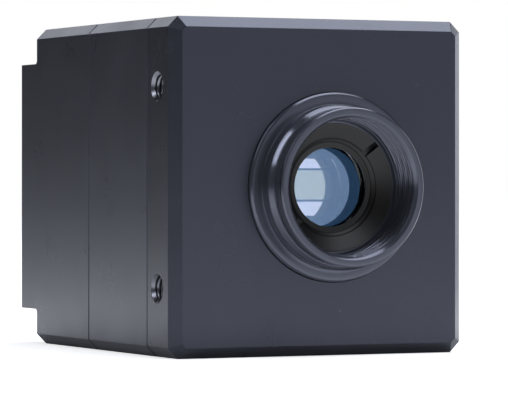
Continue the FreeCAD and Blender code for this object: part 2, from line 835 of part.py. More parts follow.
def sensor():
    """Ceramic package with its die in a recess and a cover glass over it."""
    package = new_body("sensor_package")
    half_width = s.package_width / 2
    half_height = s.package_height / 2
    block(package, "block", PACKAGE_FRONT, SENSOR_BOARD_FRONT,
          lambda sketch: rectangle(sketch, ZERO, ZERO, half_width, half_height))
    die_back = DIE_FRONT + s.die_thickness
    hollow(package, "recess", PACKAGE_FRONT, die_back,
           lambda sketch: rectangle(sketch, ZERO, ZERO, half_width - s.package_wall,
                                    half_height - s.package_wall))
    die = new_body("sensor_die")
    block(die, "silicon", DIE_FRONT, die_back,
          lambda sketch: rectangle(sketch, ZERO, ZERO, s.die_width / 2, s.die_height / 2))
    cover = new_body("sensor_cover_glass")
    block(cover, "glass", PACKAGE_FRONT - s.cover_thickness, PACKAGE_FRONT,
          lambda sketch: rectangle(sketch, ZERO, ZERO, half_width - s.cover_border,
                                   half_height - s.cover_border))


# ---------------------------------------------------------------- electronics

def board(label, start, half_width, half_height, cut, screw_x, screw_z):
    body = new_body(label)

    def outline(sketch):
        octagon(sketch, half_width, half_height, cut)
        four_circles(sketch, screw_x, screw_z, (s.board_thread + s.screw_play) / 2)
    block(body, "laminate", start, start + s.board_thickness, outline)
    return body


def square_block(label, start, end, x, z, half_width, half_height):
    body = new_body(label)
    block(body, "block", start, end,
          lambda sketch: rectangle(sketch, x, z, half_width, half_height))
    return body


def electronics():
    board("sensor_board", SENSOR_BOARD_FRONT, BOARD_HALF_WIDTH, BOARD_HALF_HEIGHT,
          BOARD_CUT, s.board_screw_x, BOARD_SCREW_Z)
    spacers("sensor_spacers", FIRST_SEAM, SENSOR_BOARD_FRONT, s.board_screw_x, BOARD_SCREW_Z)
    board_screws("sensor_screws", SENSOR_BOARD_BACK, 1, FIRST_SEAM - s.board_grip,
                 s.board_screw_x, BOARD_SCREW_Z)
    square_block("board_link", SENSOR_BOARD_BACK, PROCESSOR_FRONT, MIDDLE_X, -s.window_drop,
                 s.link_width / 2, s.link_height / 2)
    square_block("thermal_pad", BULKHEAD_REAR, BULKHEAD_REAR + s.pad_thickness, MIDDLE_X, ZERO,
                 s.pad_side / 2, s.pad_side / 2)
    square_block("processor_chip", BULKHEAD_REAR + s.pad_thickness, PROCESSOR_FRONT, MIDDLE_X,
                 ZERO, s.chip_side / 2, s.chip_side / 2)
    board("processor_board", PROCESSOR_FRONT, BOARD_HALF_WIDTH, BOARD_HALF_HEIGHT,
          BOARD_CUT, s.board_screw_x, BOARD_SCREW_Z)
    spacers("processor_spacers", BULKHEAD_REAR, PROCESSOR_FRONT,
            s.board_screw_x, BOARD_SCREW_Z)
    board_screws("processor_screws", PROCESSOR_BACK, 1, BULKHEAD_FRONT,
                 s.board_screw_x, BOARD_SCREW_Z)
    board("interface_board", INTERFACE_FRONT, s.interface_half_width, s.interface_half_height,
          s.interface_cut, s.interface_screw_x, s.interface_screw_z)
    spacers("interface_spacers", INTERFACE_BACK, REAR_INSIDE,
            s.interface_screw_x, s.interface_screw_z)
    board_screws("interface_screws", INTERFACE_FRONT, -1, REAR_INSIDE + s.wall_grip,
                 s.interface_screw_x, s.interface_screw_z)
    flat_cable()


def flat_cable():
    """Two sockets and the bowed ribbon between them, from the middle to the rear board."""
    front = PROCESSOR_BACK + s.cable_socket_depth
    rear = INTERFACE_FRONT - s.cable_socket_depth
    square_block("cable_socket_front", PROCESSOR_BACK, front, MIDDLE_X, s.cable_height,
                 s.link_width / 2, s.link_height / 2)
    square_block("cable_socket_rear", rear, INTERFACE_FRONT, MIDDLE_X, s.cable_height,
                 s.link_width / 2, s.link_height / 2)
    body = new_body("flat_cable")
    sketch = new_sketch(body, "side_view", "YZ_Plane", MIDDLE_X - s.cable_width / 2)
    middle = (front + rear) / 2
    half = s.cable_thickness / 2
    crest = s.cable_height + s.cable_bow
    polygon(sketch, [(front, s.cable_height - half), (middle, crest - half),
                     (rear, s.cable_height - half), (rear, s.cable_height + half),
                     (middle, crest + half), (front, s.cable_height + half)])
    extrude(body, "ribbon", "PartDesign::Pad", sketch, s.cable_width, False)


def data_socket():
    """Eight-way modular socket: metal shell, plastic block and the contacts in its mouth."""
    end = REAR + s.data_proud
    shell = new_body("data_socket_shell")
    inner_half_width = s.data_width / 2 - s.data_shell
    inner_half_height = s.data_height / 2 - s.data_shell

    def can(sketch):
        rectangle(sketch, DATA_X, DATA_Z, s.data_width / 2, s.data_height / 2)
        rectangle(sketch, DATA_X, DATA_Z, inner_half_width, inner_half_height)
    block(shell, "can", INTERFACE_BACK, end, can)

    core = new_body("data_socket_core")
    block(core, "block", INTERFACE_BACK, end,
          lambda sketch: rectangle(sketch, DATA_X, DATA_Z, inner_half_width, inner_half_height))
    half = s.data_mouth_width / 2
    latch = s.data_latch_width / 2
    hook = s.data_hook_width / 2
    roof = DATA_Z + s.data_mouth_height / 2
    floor = DATA_Z - s.data_mouth_height / 2
    step = floor - s.data_latch_height
    foot = step - s.data_hook_height

    def mouth(sketch):
        polygon(sketch, [
            (DATA_X + half, roof), (DATA_X - half, roof), (DATA_X - half, floor),
            (DATA_X - latch, floor), (DATA_X - latch, step), (DATA_X - hook, step),
            (DATA_X - hook, foot), (DATA_X + hook, foot), (DATA_X + hook, step),
            (DATA_X + latch, step), (DATA_X + latch, floor), (DATA_X + half, floor)])
    hollow(core, "mouth", end - s.data_mouth_depth, end, mouth)

    contacts = new_body("data_contacts")

    def bars(sketch):
        for number in range(DATA_CONTACTS):
            x = DATA_X + (number - (DATA_CONTACTS - 1) / 2) * s.data_contact_pitch
            rectangle(sketch, x, roof - s.data_contact_height / 2,
                      s.data_contact_width / 2, s.data_contact_height / 2)
    start = end - s.data_mouth_depth
    block(contacts, "bars", start, start + s.data_contact_length, bars)


def power_socket():
    """Twelve-pin round socket: shell, nut inside the rear wall, insulator and pins."""
    mouth = REAR + s.power_reach
    tail = REAR_INSIDE - s.power_tail
    flange_end = REAR + s.power_flange_thickness
    core_front = mouth - s.power_core_recess
    shell = new_body("power_socket_shell")
    turn(shell, "turning", [
        (tail, s.power_bore), (tail, s.power_barrel), (REAR, s.power_barrel),
        (REAR, s.power_flange), (flange_end, s.power_flange), (flange_end, s.power_barrel),
        (mouth, s.power_barrel), (mouth, s.power_bore)], POWER_X, POWER_Z)
    nut = new_body("power_socket_nut")

    def ring(sketch):
        hexagon(sketch, POWER_X, POWER_Z, s.power_nut * 2)
        circle(sketch, POWER_X, POWER_Z, s.power_barrel)
    block(nut, "ring", REAR_INSIDE - s.power_nut_thickness, REAR_INSIDE, ring)
    core = new_body("power_socket_core")
    pins = new_body("power_pins")

    def pin_circles(sketch):
        for count, reach in ((OUTER_PINS, s.pin_outer_circle), (INNER_PINS, s.pin_inner_circle)):
            for number in range(count):
                angle = 2 * pi * number / count + pi / 2
                circle(sketch, POWER_X + reach * round(cos(angle), DIGITS),
                       POWER_Z + reach * round(sin(angle), DIGITS), s.pin_radius)

    def pierced(sketch):
        circle(sketch, POWER_X, POWER_Z, s.power_bore)
        pin_circles(sketch)
    block(core, "insulator", tail, core_front, pierced)
    block(pins, "pins", tail - s.pin_tail, mouth - s.pin_recess, pin_circles)


def status_light():
    body = new_body("status_light")
    block(body, "pipe", REAR_INSIDE - s.light_radius, REAR + s.light_proud,
          lambda sketch: circle(sketch, LIGHT_X, LIGHT_Z, s.light_radius))


# ---------------------------------------------------------------- the whole camera

front_housing()
middle_housing()
rear_housing()
gasket("front_gasket", FIRST_SEAM)
gasket("rear_gasket", SECOND_SEAM)
corner_screws()
lens_mount()
mount_screws()
retaining_ring()
filter_window()
filter_seal()
sensor()
electronics()
data_socket()
power_socket()
status_light()
document.recompute()

bodies = [item for item in document.Objects if item.TypeId == "PartDesign::Body"]
for item in document.Objects:
    if "Invalid" in item.State or "Error" in item.State:
        raise RuntimeError(f"{item.Label}: {item.State}")
for item in bodies:
    if item.Shape.isNull() or not item.Shape.isValid() or not item.Shape.Solids:
        raise RuntimeError(f"{item.Label} has no valid solid")

os.makedirs("parts", exist_ok=True)
for item in bodies:
    item.Shape.exportStep(f"parts/{item.Label}.step")
    print(item.Label, len(item.Shape.Solids), round(item.Shape.Volume, 2))
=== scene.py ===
"""Finish of a machine vision camera: anodised housing, lens mount, optics, sockets and studio.

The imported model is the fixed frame. Each piece is placed from its node's box or from a mount of the
record, in metres, in the row frame: the optical axis is Y and looks along -Y, and +Z is up.
"""

import json
from math import cos, pi, radians, sin, tau

import bmesh
import bpy
import numpy as np
from bpy.props import FloatProperty, FloatVectorProperty, IntProperty, PointerProperty
from bpy.types import Operator, Panel, PropertyGroup
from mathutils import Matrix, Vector


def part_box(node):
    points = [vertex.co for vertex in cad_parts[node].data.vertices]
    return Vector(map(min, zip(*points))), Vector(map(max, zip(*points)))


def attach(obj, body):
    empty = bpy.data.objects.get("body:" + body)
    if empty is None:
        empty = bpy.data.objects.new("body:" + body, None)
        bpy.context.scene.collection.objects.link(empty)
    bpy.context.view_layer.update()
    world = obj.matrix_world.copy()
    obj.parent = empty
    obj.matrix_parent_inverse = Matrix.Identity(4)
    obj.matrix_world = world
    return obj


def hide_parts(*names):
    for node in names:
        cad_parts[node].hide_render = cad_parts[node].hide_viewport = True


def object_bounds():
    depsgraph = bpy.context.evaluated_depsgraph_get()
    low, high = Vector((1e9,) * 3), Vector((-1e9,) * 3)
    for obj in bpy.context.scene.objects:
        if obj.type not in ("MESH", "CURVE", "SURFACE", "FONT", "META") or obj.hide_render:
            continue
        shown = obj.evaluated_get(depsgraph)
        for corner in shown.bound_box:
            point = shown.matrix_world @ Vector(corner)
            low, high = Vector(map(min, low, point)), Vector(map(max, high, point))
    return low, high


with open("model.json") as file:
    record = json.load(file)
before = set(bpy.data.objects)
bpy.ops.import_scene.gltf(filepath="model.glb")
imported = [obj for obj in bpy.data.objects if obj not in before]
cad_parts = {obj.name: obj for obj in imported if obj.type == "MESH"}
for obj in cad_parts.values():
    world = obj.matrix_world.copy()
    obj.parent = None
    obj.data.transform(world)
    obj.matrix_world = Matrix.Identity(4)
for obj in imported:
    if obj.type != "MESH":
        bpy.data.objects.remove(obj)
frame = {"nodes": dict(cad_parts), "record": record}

bl_info = {
    "name": "Machine vision camera finish",
    "version": (1, 0, 0),
    "blender": (4, 5, 0),
    "location": "3D View > Sidebar > Vision camera",
    "description": "Dresses the packed camera: housing, lens mount, optics, sockets and studio",
    "category": "Object",
}

MM = 0.001
SAME_POINT = 1e-6            # metres between two corners of a solid that are one
SAME_SURFACE_POINT = 1e-7    # the same on a worked-out surface, which is finer
FLAT = radians(0.3)          # between two faces that are one plane
CREASE = radians(30)         # an edge that gets a round, and one that stays sharp after it
TURNED_CREASE = radians(40)  # an edge that stays sharp on a worked-out surface
CAD_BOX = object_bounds()
CENTRE = (CAD_BOX[0] + CAD_BOX[1]) / 2
MOUNTS = {mount["name"]: mount for mount in frame["record"]["mounts"]}


def linear(code):
    """An sRGB hex colour as three linear values."""
    share = np.array([int(code[i:i + 2], 16) for i in (1, 3, 5)]) / 255
    return tuple(np.where(share <= 0.04045, share / 12.92, ((share + 0.055) / 1.055) ** 2.4))


# ---------------------------------------------------------------- sizes and colours to change

class HousingSettings(PropertyGroup):
    edge_round: FloatProperty(
        name="Edge round", description="Round left on every machined edge",
        default=0.09 * MM, min=0.01 * MM, unit="LENGTH")
    # real pits are a third as wide; these are as coarse as they need to be to show
    grain: FloatProperty(
        name="Blast grain", description="Size of the pits that the bead blasting leaves",
        default=0.16 * MM, min=0.02 * MM, unit="LENGTH")
    sheen: FloatVectorProperty(
        name="Sheen", description="Tint that the oxide layer gives to highlights",
        default=linear("#E3E8FF"), subtype="COLOR", min=0, max=1)
    colour: FloatVectorProperty(
        name="Anodising", description="Colour of the dyed oxide layer",
        default=linear("#202228"), subtype="COLOR", min=0, max=1)


class MountSettings(PropertyGroup):
    pitch: FloatProperty(
        name="Lens thread pitch", description="One turn of the 1 inch by 32 lens thread",
        default=25.4 / 32 * MM, min=0.1 * MM, unit="LENGTH")
    root: FloatProperty(
        name="Thread root radius", description="Outer radius of the lens thread",
        default=12.68 * MM, min=1 * MM, unit="LENGTH")
    # a real tool advances half as far; these marks are as coarse as they need to be to show
    mark: FloatProperty(
        name="Turning marks", description="Distance between the marks of the lathe tool",
        default=0.2 * MM, min=0.02 * MM, unit="LENGTH")
    colour: FloatVectorProperty(
        name="Anodising", description="Colour of the turned mount",
        default=linear("#303239"), subtype="COLOR", min=0, max=1)


class OpticsSettings(PropertyGroup):
    slot_angle: FloatProperty(
        name="Spanner slot angle", description="Turn of the two slots of the ring",
        default=radians(43), subtype="ANGLE")
    slot_width: FloatProperty(
        name="Spanner slot width", description="Width of the two slots of the ring",
        default=1.2 * MM, min=0.1 * MM, unit="LENGTH")
    baffle_colour: FloatVectorProperty(
        name="Baffle", description="Matt black of the retaining ring",
        default=linear("#080706"), subtype="COLOR", min=0, max=1)
    filter_colour: FloatVectorProperty(
        name="Filter", description="Tint of light that passes the filter",
        default=linear("#F4FAFD"), subtype="COLOR", min=0, max=1)
    front_coat: FloatVectorProperty(
        name="Front coat", description="Front mirror sheen of the filter, as a share of bare glass",
        default=(0.32, 0.81, 1.58), subtype="COLOR", min=0)
    back_coat: FloatVectorProperty(
        name="Back coat", description="Back mirror sheen of the filter, as a share of bare glass",
        default=(2.6, 3.6, 5.4), subtype="COLOR", min=0)


class SideThreadSettings(PropertyGroup):
    pitch: FloatProperty(
        name="Side thread pitch", description="One turn of the M5 mounting threads",
        default=0.8 * MM, min=0.1 * MM, unit="LENGTH")
    height: FloatProperty(
        name="Side thread height", description="From the root of a thread to its crest",
        default=0.27 * MM, min=0.05 * MM, unit="LENGTH")


class StudioSettings(PropertyGroup):
    distance: FloatProperty(
        name="Camera distance", description="From the lens rim to the camera",
        default=587.9 * MM, min=0.1, unit="LENGTH")
    bearing: FloatProperty(
        name="Camera bearing", description="Turn of the camera round the object",
        default=radians(27.25), subtype="ANGLE")
    yaw: FloatProperty(
        name="Camera yaw", description="Direction in which the camera looks",
        default=radians(25.54), subtype="ANGLE")
    height: FloatProperty(
        name="Camera height", description="Above the optical axis",
        default=1.88 * MM, unit="LENGTH")
    focal: FloatProperty(
        name="Focal length", description="In millimetres, on a 36 mm wide sensor",
        default=236.7, min=10)
    shift: FloatProperty(
        name="Vertical shift", description="Share of the sensor's width", default=-0.0567)
    floor_radius: FloatProperty(
        name="Floor radius", description="Half of the round floor's width",
        default=4.0, min=0.5, unit="LENGTH")
    sides: IntProperty(
        name="Floor sides", description="Corners of the round floor", default=96, min=12)


# ---------------------------------------------------------------- surfaces

def surface(name, points):
    """A closed mesh over a grid of points.

    Rows run along a closed profile and columns run round an axis. Each face joins four neighbouring
    points, and the last row and column join the first ones.
    """
    rows, columns = points.shape[:2]
    number = np.arange(rows * columns).reshape(rows, columns)
    number = np.pad(number, ((0, 1), (0, 1)), mode="wrap")
    faces = np.stack(
        [number[:-1, :-1], number[:-1, 1:], number[1:, 1:], number[1:, :-1]], axis=-1)
    mesh = bpy.data.meshes.new(name)
    mesh.from_pydata(points.reshape(-1, 3), [], faces.reshape(-1, 4))
    edit = bmesh.new()
    edit.from_mesh(mesh)
    bmesh.ops.remove_doubles(edit, verts=edit.verts, dist=SAME_SURFACE_POINT)
    bmesh.ops.recalc_face_normals(edit, faces=edit.faces)
    edit.to_mesh(mesh)
    edit.free()
    return mesh


def rounded(corners, radius, steps=3, most=0.45):
    """A closed profile with a curve at each corner.

    The curve is quadratic: (1 - t) squared of its start, 2 t (1 - t) of the corner and t squared of
    its end. It starts and ends radius from the corner, or at most that share of the run away.
    """
    corner = np.array(corners, dtype=float)
    back = np.roll(corner, 1, axis=0) - corner
    ahead = np.roll(corner, -1, axis=0) - corner
    back_length = np.linalg.norm(back, axis=1, keepdims=True)
    ahead_length = np.linalg.norm(ahead, axis=1, keepdims=True)
    start = corner + back / back_length * np.minimum(radius, back_length * most)
    end = corner + ahead / ahead_length * np.minimum(radius, ahead_length * most)
    t = np.linspace(0, 1, steps + 1)[None, :, None]
    start, corner, end = start[:, None], corner[:, None], end[:, None]
    curve = (1 - t) ** 2 * start + 2 * t * (1 - t) * corner + t ** 2 * end
    return curve.reshape(-1, 2)


def divided(profile, longest):
    """A closed profile with each run cut into equal parts no longer than longest."""
    after = np.roll(profile, -1, axis=0)
    length = np.linalg.norm(after - profile, axis=1)
    counts = np.maximum(1, np.ceil(length / longest)).astype(int)
    run = np.repeat(np.arange(len(profile)), counts)
    first = np.cumsum(counts) - counts
    share = ((np.arange(len(run)) - first[run]) / counts[run])[:, None]
    return profile[run] * (1 - share) + after[run] * share


def turned(name, profile, sides, swell=None):
    """A closed profile of (depth, radius) points carried round the optical axis.

    x is the radius times the angle's cosine, y is the depth and z is the radius times its sine.
    swell(depth, angle, radius) gives the radius where it changes round the axis, as on a thread.
    """
    angle = np.linspace(0, tau, sides, endpoint=False)[None, :]
    depth, radius, angle = np.broadcast_arrays(profile[:, :1], profile[:, 1:], angle)
    if swell:
        radius = swell(depth, angle, radius)
    points = np.stack([radius * np.cos(angle), depth, radius * np.sin(angle)], axis=-1)
    return surface(name, points)


def thread(along, angle, pitch, steepness=2.6, flat=0.8):
    """Height of a right-handed screw thread, from 0 at its root to 1 at its crest.

    A triangle wave of the distance along the axis, moved on by one pitch a turn, is made steeper,
    lowered and cut off at 0 and 1, so that root and crest are flat.
    """
    phase = (along / pitch - angle / tau) % 1.0
    return np.clip(steepness * np.abs(2 * phase - 1) - flat, 0, 1)


def add_piece(name, mesh, node=None, material=None, crease=TURNED_CREASE):
    """Puts a finished mesh into the scene, lets it ride on the body and gives it its finish."""
    mesh.shade_smooth()
    mesh.set_sharp_from_angle(angle=crease)
    piece = bpy.data.objects.new(name, mesh)
    bpy.context.scene.collection.objects.link(piece)
    if material:
        mesh.materials.clear()
        mesh.materials.append(material)
    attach(piece, "root")
    if node:
        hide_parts(node)
    return piece


def finished_copy(node, edge, material, segments=2):
    """A node's own shape with every sharp edge rounded, as tumbling or blasting leaves it."""
    mesh = frame["nodes"][node].data.copy()
    edit = bmesh.new()
    edit.from_mesh(mesh)
    bmesh.ops.remove_doubles(edit, verts=edit.verts, dist=SAME_POINT)
    bmesh.ops.dissolve_limit(edit, angle_limit=FLAT, verts=edit.verts, edges=edit.edges)
    edit.to_mesh(mesh)
    edit.free()
    piece = add_piece(node + "_finish", mesh, node, material=material)
    bevel = piece.modifiers.new("edge_round", "BEVEL")
    bevel.width = edge
    bevel.segments = segments
    bevel.limit_method = "ANGLE"
    bevel.angle_limit = CREASE
    bevel.use_clamp_overlap = False
    settle(piece)
    shade_evenly(piece)


def settle(piece):
    """Makes a piece's modifiers its own mesh, and marks the creases that are left."""
    bpy.context.view_layer.update()
    result = piece.evaluated_get(bpy.context.evaluated_depsgraph_get())
    mesh = bpy.data.meshes.new_from_object(result)
    piece.modifiers.clear()
    piece.data = mesh
    mesh.shade_smooth()
    mesh.set_sharp_from_angle(angle=CREASE)


def shade_evenly(piece):
    """Keeps large faces flat beside their narrow rounded edges."""
    piece.modifiers.new("even_shading", "WEIGHTED_NORMAL").keep_sharp = True


def dress(node, material):
    """A node whose shape is kept gets its finish on its own material slots."""
    thing = frame["nodes"][node]
    for slot in thing.material_slots:
        slot.link = "OBJECT"
        slot.material = material


# ---------------------------------------------------------------- materials

def add_node(owner, kind, inputs=None, **settings):
    """Adds a node to a material or world, sets its properties, and fills or links its inputs.

    An input goes by its name, or by its number where names repeat: the two colours of a colour mix
    are 6 and 7.
    """
    tree = owner.node_tree
    item = tree.nodes.new(kind)
    for name, value in settings.items():
        setattr(item, name, value)
    for name, value in (inputs or {}).items():
        socket = item.inputs[name]
        if isinstance(value, bpy.types.NodeSocket):
            tree.links.new(value, socket)
        else:
            socket.default_value = value
    return item


def new_material(name, colour, roughness, metallic=0.0, ior=1.5, **sockets):
    """A material and its principled shader, or the material and None if it was made before.

    Metals keep the default IOR.
    """
    material = bpy.data.materials.get(name)
    if material:
        return material, None
    material = bpy.data.materials.new(name)
    material.use_nodes = True
    shader = material.node_tree.nodes["Principled BSDF"]
    shader.inputs["Base Color"].default_value = (*colour, 1)
    shader.inputs["Roughness"].default_value = roughness
    shader.inputs["Metallic"].default_value = metallic
    if not metallic:
        shader.inputs["IOR"].default_value = ior
    for socket, value in sockets.items():
        shader.inputs[socket.replace("_", " ")].default_value = value
    return material, shader


def patches(material, size, detail=2.0, over=None):
    """A cloudy pattern of 0 to 1, whose patches are about size metres wide over the given vector.

    Without one it lies over the object.
    """
    if over is None:
        over = add_node(material, "ShaderNodeTexCoord").outputs["Object"]
    inputs = {"Vector": over, "Scale": 1 / size, "Detail": detail}
    return add_node(material, "ShaderNodeTexNoise", inputs).outputs["Fac"]


def vary(material, shader, pattern, colours=None, roughness=None, relief=None):
    """Lets a pattern of 0 to 1 change a shader over the surface.

    The colour runs from the first at 0 to the second at 1. The roughness runs from the first at 0.3
    to the second at 0.7, because most of a cloudy pattern lies between. The relief is a height in
    metres and a strength.
    """
    outputs = {}
    if colours:
        inputs = {0: pattern, 6: (*colours[0], 1), 7: (*colours[1], 1)}
        outputs["Base Color"] = add_node(
            material, "ShaderNodeMix", inputs, data_type="RGBA").outputs[2]
    if roughness:
        inputs = {"Value": pattern, "From Min": 0.3, "From Max": 0.7,
                  "To Min": roughness[0], "To Max": roughness[1]}
        outputs["Roughness"] = add_node(material, "ShaderNodeMapRange", inputs).outputs[0]
    if relief:
        inputs = {"Height": pattern, "Distance": relief[0], "Strength": relief[1]}
        outputs["Normal"] = add_node(material, "ShaderNodeBump", inputs).outputs[0]
    for socket, output in outputs.items():
        material.node_tree.links.new(output, shader.inputs[socket])


def scaled(colour, factor):
    """A colour made lighter or darker, at most white."""
    return tuple(min(1.0, value * factor) for value in colour)


def anodised_housing(name="blasted anodised aluminium", roughness=0.3, ior=1.75):
    """Bead-blasted, dyed anodised aluminium: dark blue-grey, soft satin sheen and fine grain.

    The oxide layer mirrors more than plastic does, so its IOR is that of aluminium oxide.
    """
    settings = bpy.context.scene.camera_housing
    colour = tuple(settings.colour)
    material, shader = new_material(name, colour, roughness, ior=ior)
    if shader:
        shader.inputs["Specular Tint"].default_value = (*settings.sheen, 1)
        vary(material, shader, patches(material, settings.grain, 3.0),
             colours=(scaled(colour, 0.82), scaled(colour, 1.2)), relief=(0.02 * MM, 0.7))
        vary(material, shader, patches(material, 9 * MM),
             roughness=(roughness - 0.03, roughness + 0.02))
    return material


def milled_housing():
    """Milled, dyed anodised aluminium of the front block: a little smoother and less mirroring."""
    return anodised_housing("milled anodised aluminium", roughness=0.26, ior=1.6)


def anodised_mount():
    """Turned and dyed anodised aluminium: rings of tool marks draw fine lines across the sheen.

    The marks are a pattern of the radius and the depth alone, so they run round the axis.
    """
    settings = bpy.context.scene.camera_mount
    colour = tuple(settings.colour)
    material, shader = new_material("turned anodised aluminium", colour, 0.2, ior=1.75)
    if shader:
        sheen = bpy.context.scene.camera_housing.sheen
        shader.inputs["Specular Tint"].default_value = (*sheen, 1)
        place = add_node(material, "ShaderNodeTexCoord").outputs["Object"]
        x, y, z = add_node(material, "ShaderNodeSeparateXYZ", {"Vector": place}).outputs
        across = add_node(material, "ShaderNodeCombineXYZ", {"X": x, "Y": z}).outputs[0]
        radius = add_node(
            material, "ShaderNodeVectorMath", {0: across}, operation="LENGTH").outputs["Value"]
        turn = add_node(material, "ShaderNodeCombineXYZ", {"X": radius, "Y": y}).outputs[0]
        vary(material, shader, patches(material, settings.mark, over=turn),
             colours=(scaled(colour, 0.5), scaled(colour, 1.5)),
             roughness=(0.14, 0.22), relief=(0.008 * MM, 0.8))
    return material


def black_baffle():
    """Matt black anodised aluminium: a warm black that swallows light, faintly uneven."""
    colour = tuple(bpy.context.scene.camera_optics.baffle_colour)
    material, shader = new_material("matt black anodised aluminium", colour, 0.38, ior=1.4)
    if shader:
        vary(material, shader, patches(material, 0.2 * MM),
             roughness=(0.34, 0.42), relief=(0.01 * MM, 0.4))
    return material


def filter_glass(side, coat):
    """Polished glass with an interference coat: clear straight on, with a blue mirror sheen."""
    colour = tuple(bpy.context.scene.camera_optics.filter_colour)
    material, shader = new_material(
        "coated filter glass " + side, colour, 0.0, ior=1.52, Transmission_Weight=1.0)
    if shader:
        shader.inputs["Specular Tint"].default_value = (*coat, 1)
        vary(material, shader, patches(material, 4 * MM), roughness=(0.0, 0.012))
    return material


def cover_glass():
    """Thin polished glass with a broadband coat: almost unseen, hence the low IOR."""
    material, shader = new_material(
        "coated cover glass", linear("#F4FAFB"), 0.0, ior=1.25, Transmission_Weight=1.0)
    if shader:
        vary(material, shader, patches(material, 3 * MM), roughness=(0.0, 0.01))
    return material


def bare_silicon():
    """Polished silicon under microlenses: a pale mirror with two dark lines across its height.

    The distance from the band's middle height says where the middle tone ends and the lines lie.
    """
    bright, middle_tone, dark = linear("#E2DAFA"), linear("#B8B8B8"), linear("#1E3A60")
    middle, half_band, half_line = 0.39 * MM, 2.83 * MM, 0.19 * MM
    material, shader = new_material("polished silicon", bright, 0.05, metallic=1.0)
    if shader:
        place = add_node(material, "ShaderNodeTexCoord").outputs["Object"]
        height = add_node(material, "ShaderNodeSeparateXYZ", {"Vector": place}).outputs["Z"]
        above = add_node(
            material, "ShaderNodeMath", {0: height, 1: middle}, operation="SUBTRACT").outputs[0]
        away = add_node(material, "ShaderNodeMath", {0: above}, operation="ABSOLUTE").outputs[0]
        inside = add_node(
            material, "ShaderNodeMath", {0: away, 1: half_band}, operation="LESS_THAN").outputs[0]
        on_line = add_node(material, "ShaderNodeMath", {0: away, 1: half_band, 2: half_line},
                           operation="COMPARE").outputs[0]
        zones = add_node(
            material, "ShaderNodeMix", {0: inside, 6: (*bright, 1), 7: (*middle_tone, 1)},
            data_type="RGBA").outputs[2]
        lines = add_node(material, "ShaderNodeMix", {0: on_line, 6: zones, 7: (*dark, 1)},
                         data_type="RGBA").outputs[2]
        material.node_tree.links.new(lines, shader.inputs["Base Color"])
    return material


def plain(name, code, roughness, size, depth, metallic=0.0, ior=1.5, tone=0.12, **sockets):
    """A finish whose fine unevenness changes its colour, gloss and height a little.

    size is the width of a patch and depth its height, in metres; tone is how far its colour goes.
    """
    colour = linear(code)
    material, shader = new_material(name, colour, roughness, metallic, ior, **sockets)
    if shader:
        vary(material, shader, patches(material, size),
             colours=(scaled(colour, 1 - tone), scaled(colour, 1 + tone)),
             roughness=(roughness * 0.85, min(1.0, roughness * 1.15)), relief=(depth, 0.5))
    return material


def fired_ceramic():
    """Fired dark alumina: matt, with a faint sandy grain."""
    return plain("fired alumina", "#1E2024", 0.6, 0.15 * MM, 0.01 * MM)


def solder_resist():
    """Green lacquer over glass weave: glossy, with a slight weave-wide mottling."""
    return plain("solder resist on laminate", "#0F4A2A", 0.28, 0.6 * MM, 0.01 * MM)


def stainless():
    """Machined stainless steel: bright, with fine drawn marks."""
    return plain("machined stainless steel", "#A6A6A8", 0.3, 0.08 * MM, 0.004 * MM, metallic=1.0)


def cut_aluminium():
    """Bare aluminium that a tap and a countersink have cut: bright, with fine tool marks."""
    return plain("freshly cut aluminium", "#707178", 0.3, 0.06 * MM, 0.004 * MM, metallic=1.0)


def brass():
    """Bare turned brass: warm yellow, with fine turning marks."""
    return plain("turned brass", "#C9A45C", 0.28, 0.08 * MM, 0.004 * MM, metallic=1.0)


def rubber():
    """Black nitrile rubber: dull, slightly uneven."""
    return plain("nitrile rubber", "#101011", 0.7, 0.2 * MM, 0.02 * MM)


def moulded_black():
    """Glass-filled nylon: black, satin, with the fine spark-eroded grain of its mould."""
    return plain("moulded glass-filled nylon", "#141416", 0.5, 0.12 * MM, 0.012 * MM)


def chip_epoxy():
    """Moulded epoxy of a chip: dark grey, matt, sandy."""
    return plain("moulded epoxy", "#1B1B1C", 0.65, 0.1 * MM, 0.01 * MM)


def thermal_gel():
    """Soft filled silicone pad: grey-blue and waxy."""
    return plain("filled silicone pad", "#8C9AA8", 0.75, 0.5 * MM, 0.02 * MM)


def polyimide():
    """Amber polyimide film: glossy and a little uneven."""
    return plain("polyimide film", "#B0651A", 0.2, 1.5 * MM, 0.01 * MM)


def nickel():
    """Bright nickel plate over drawn metal: slightly wavy mirror."""
    return plain(
        "bright nickel plate", "#C8C6C0", 0.22, 0.4 * MM, 0.004 * MM, metallic=1.0, tone=0.05)


def gold():
    """Thin gold plate on contacts: yellow and satin."""
    return plain("gold plate", "#E3B866", 0.22, 0.2 * MM, 0.004 * MM, metallic=1.0, tone=0.05)


def light_pipe():
    """Milky clear polycarbonate: lets light through and scatters it."""
    return plain(
        "diffusing polycarbonate", "#DDE4E0", 0.25, 0.8 * MM, 0.004 * MM, ior=1.58, tone=0.03,
        Transmission_Weight=0.5, Subsurface_Weight=0.3)


# ---------------------------------------------------------------- pieces

class CAMERA_OT_housing(Operator):
    """Dress the three anodised blocks and the gaskets between them"""
    bl_idname = "vision_camera.housing"
    bl_label = "Housing"

    def execute(self, context):
        edge = context.scene.camera_housing.edge_round
        finished_copy("front_housing", edge, milled_housing())
        for node in ("middle_housing", "rear_housing"):
            finished_copy(node, edge, anodised_housing())
        for node in ("front_gasket", "rear_gasket"):
            dress(node, rubber())
        return {"FINISHED"}


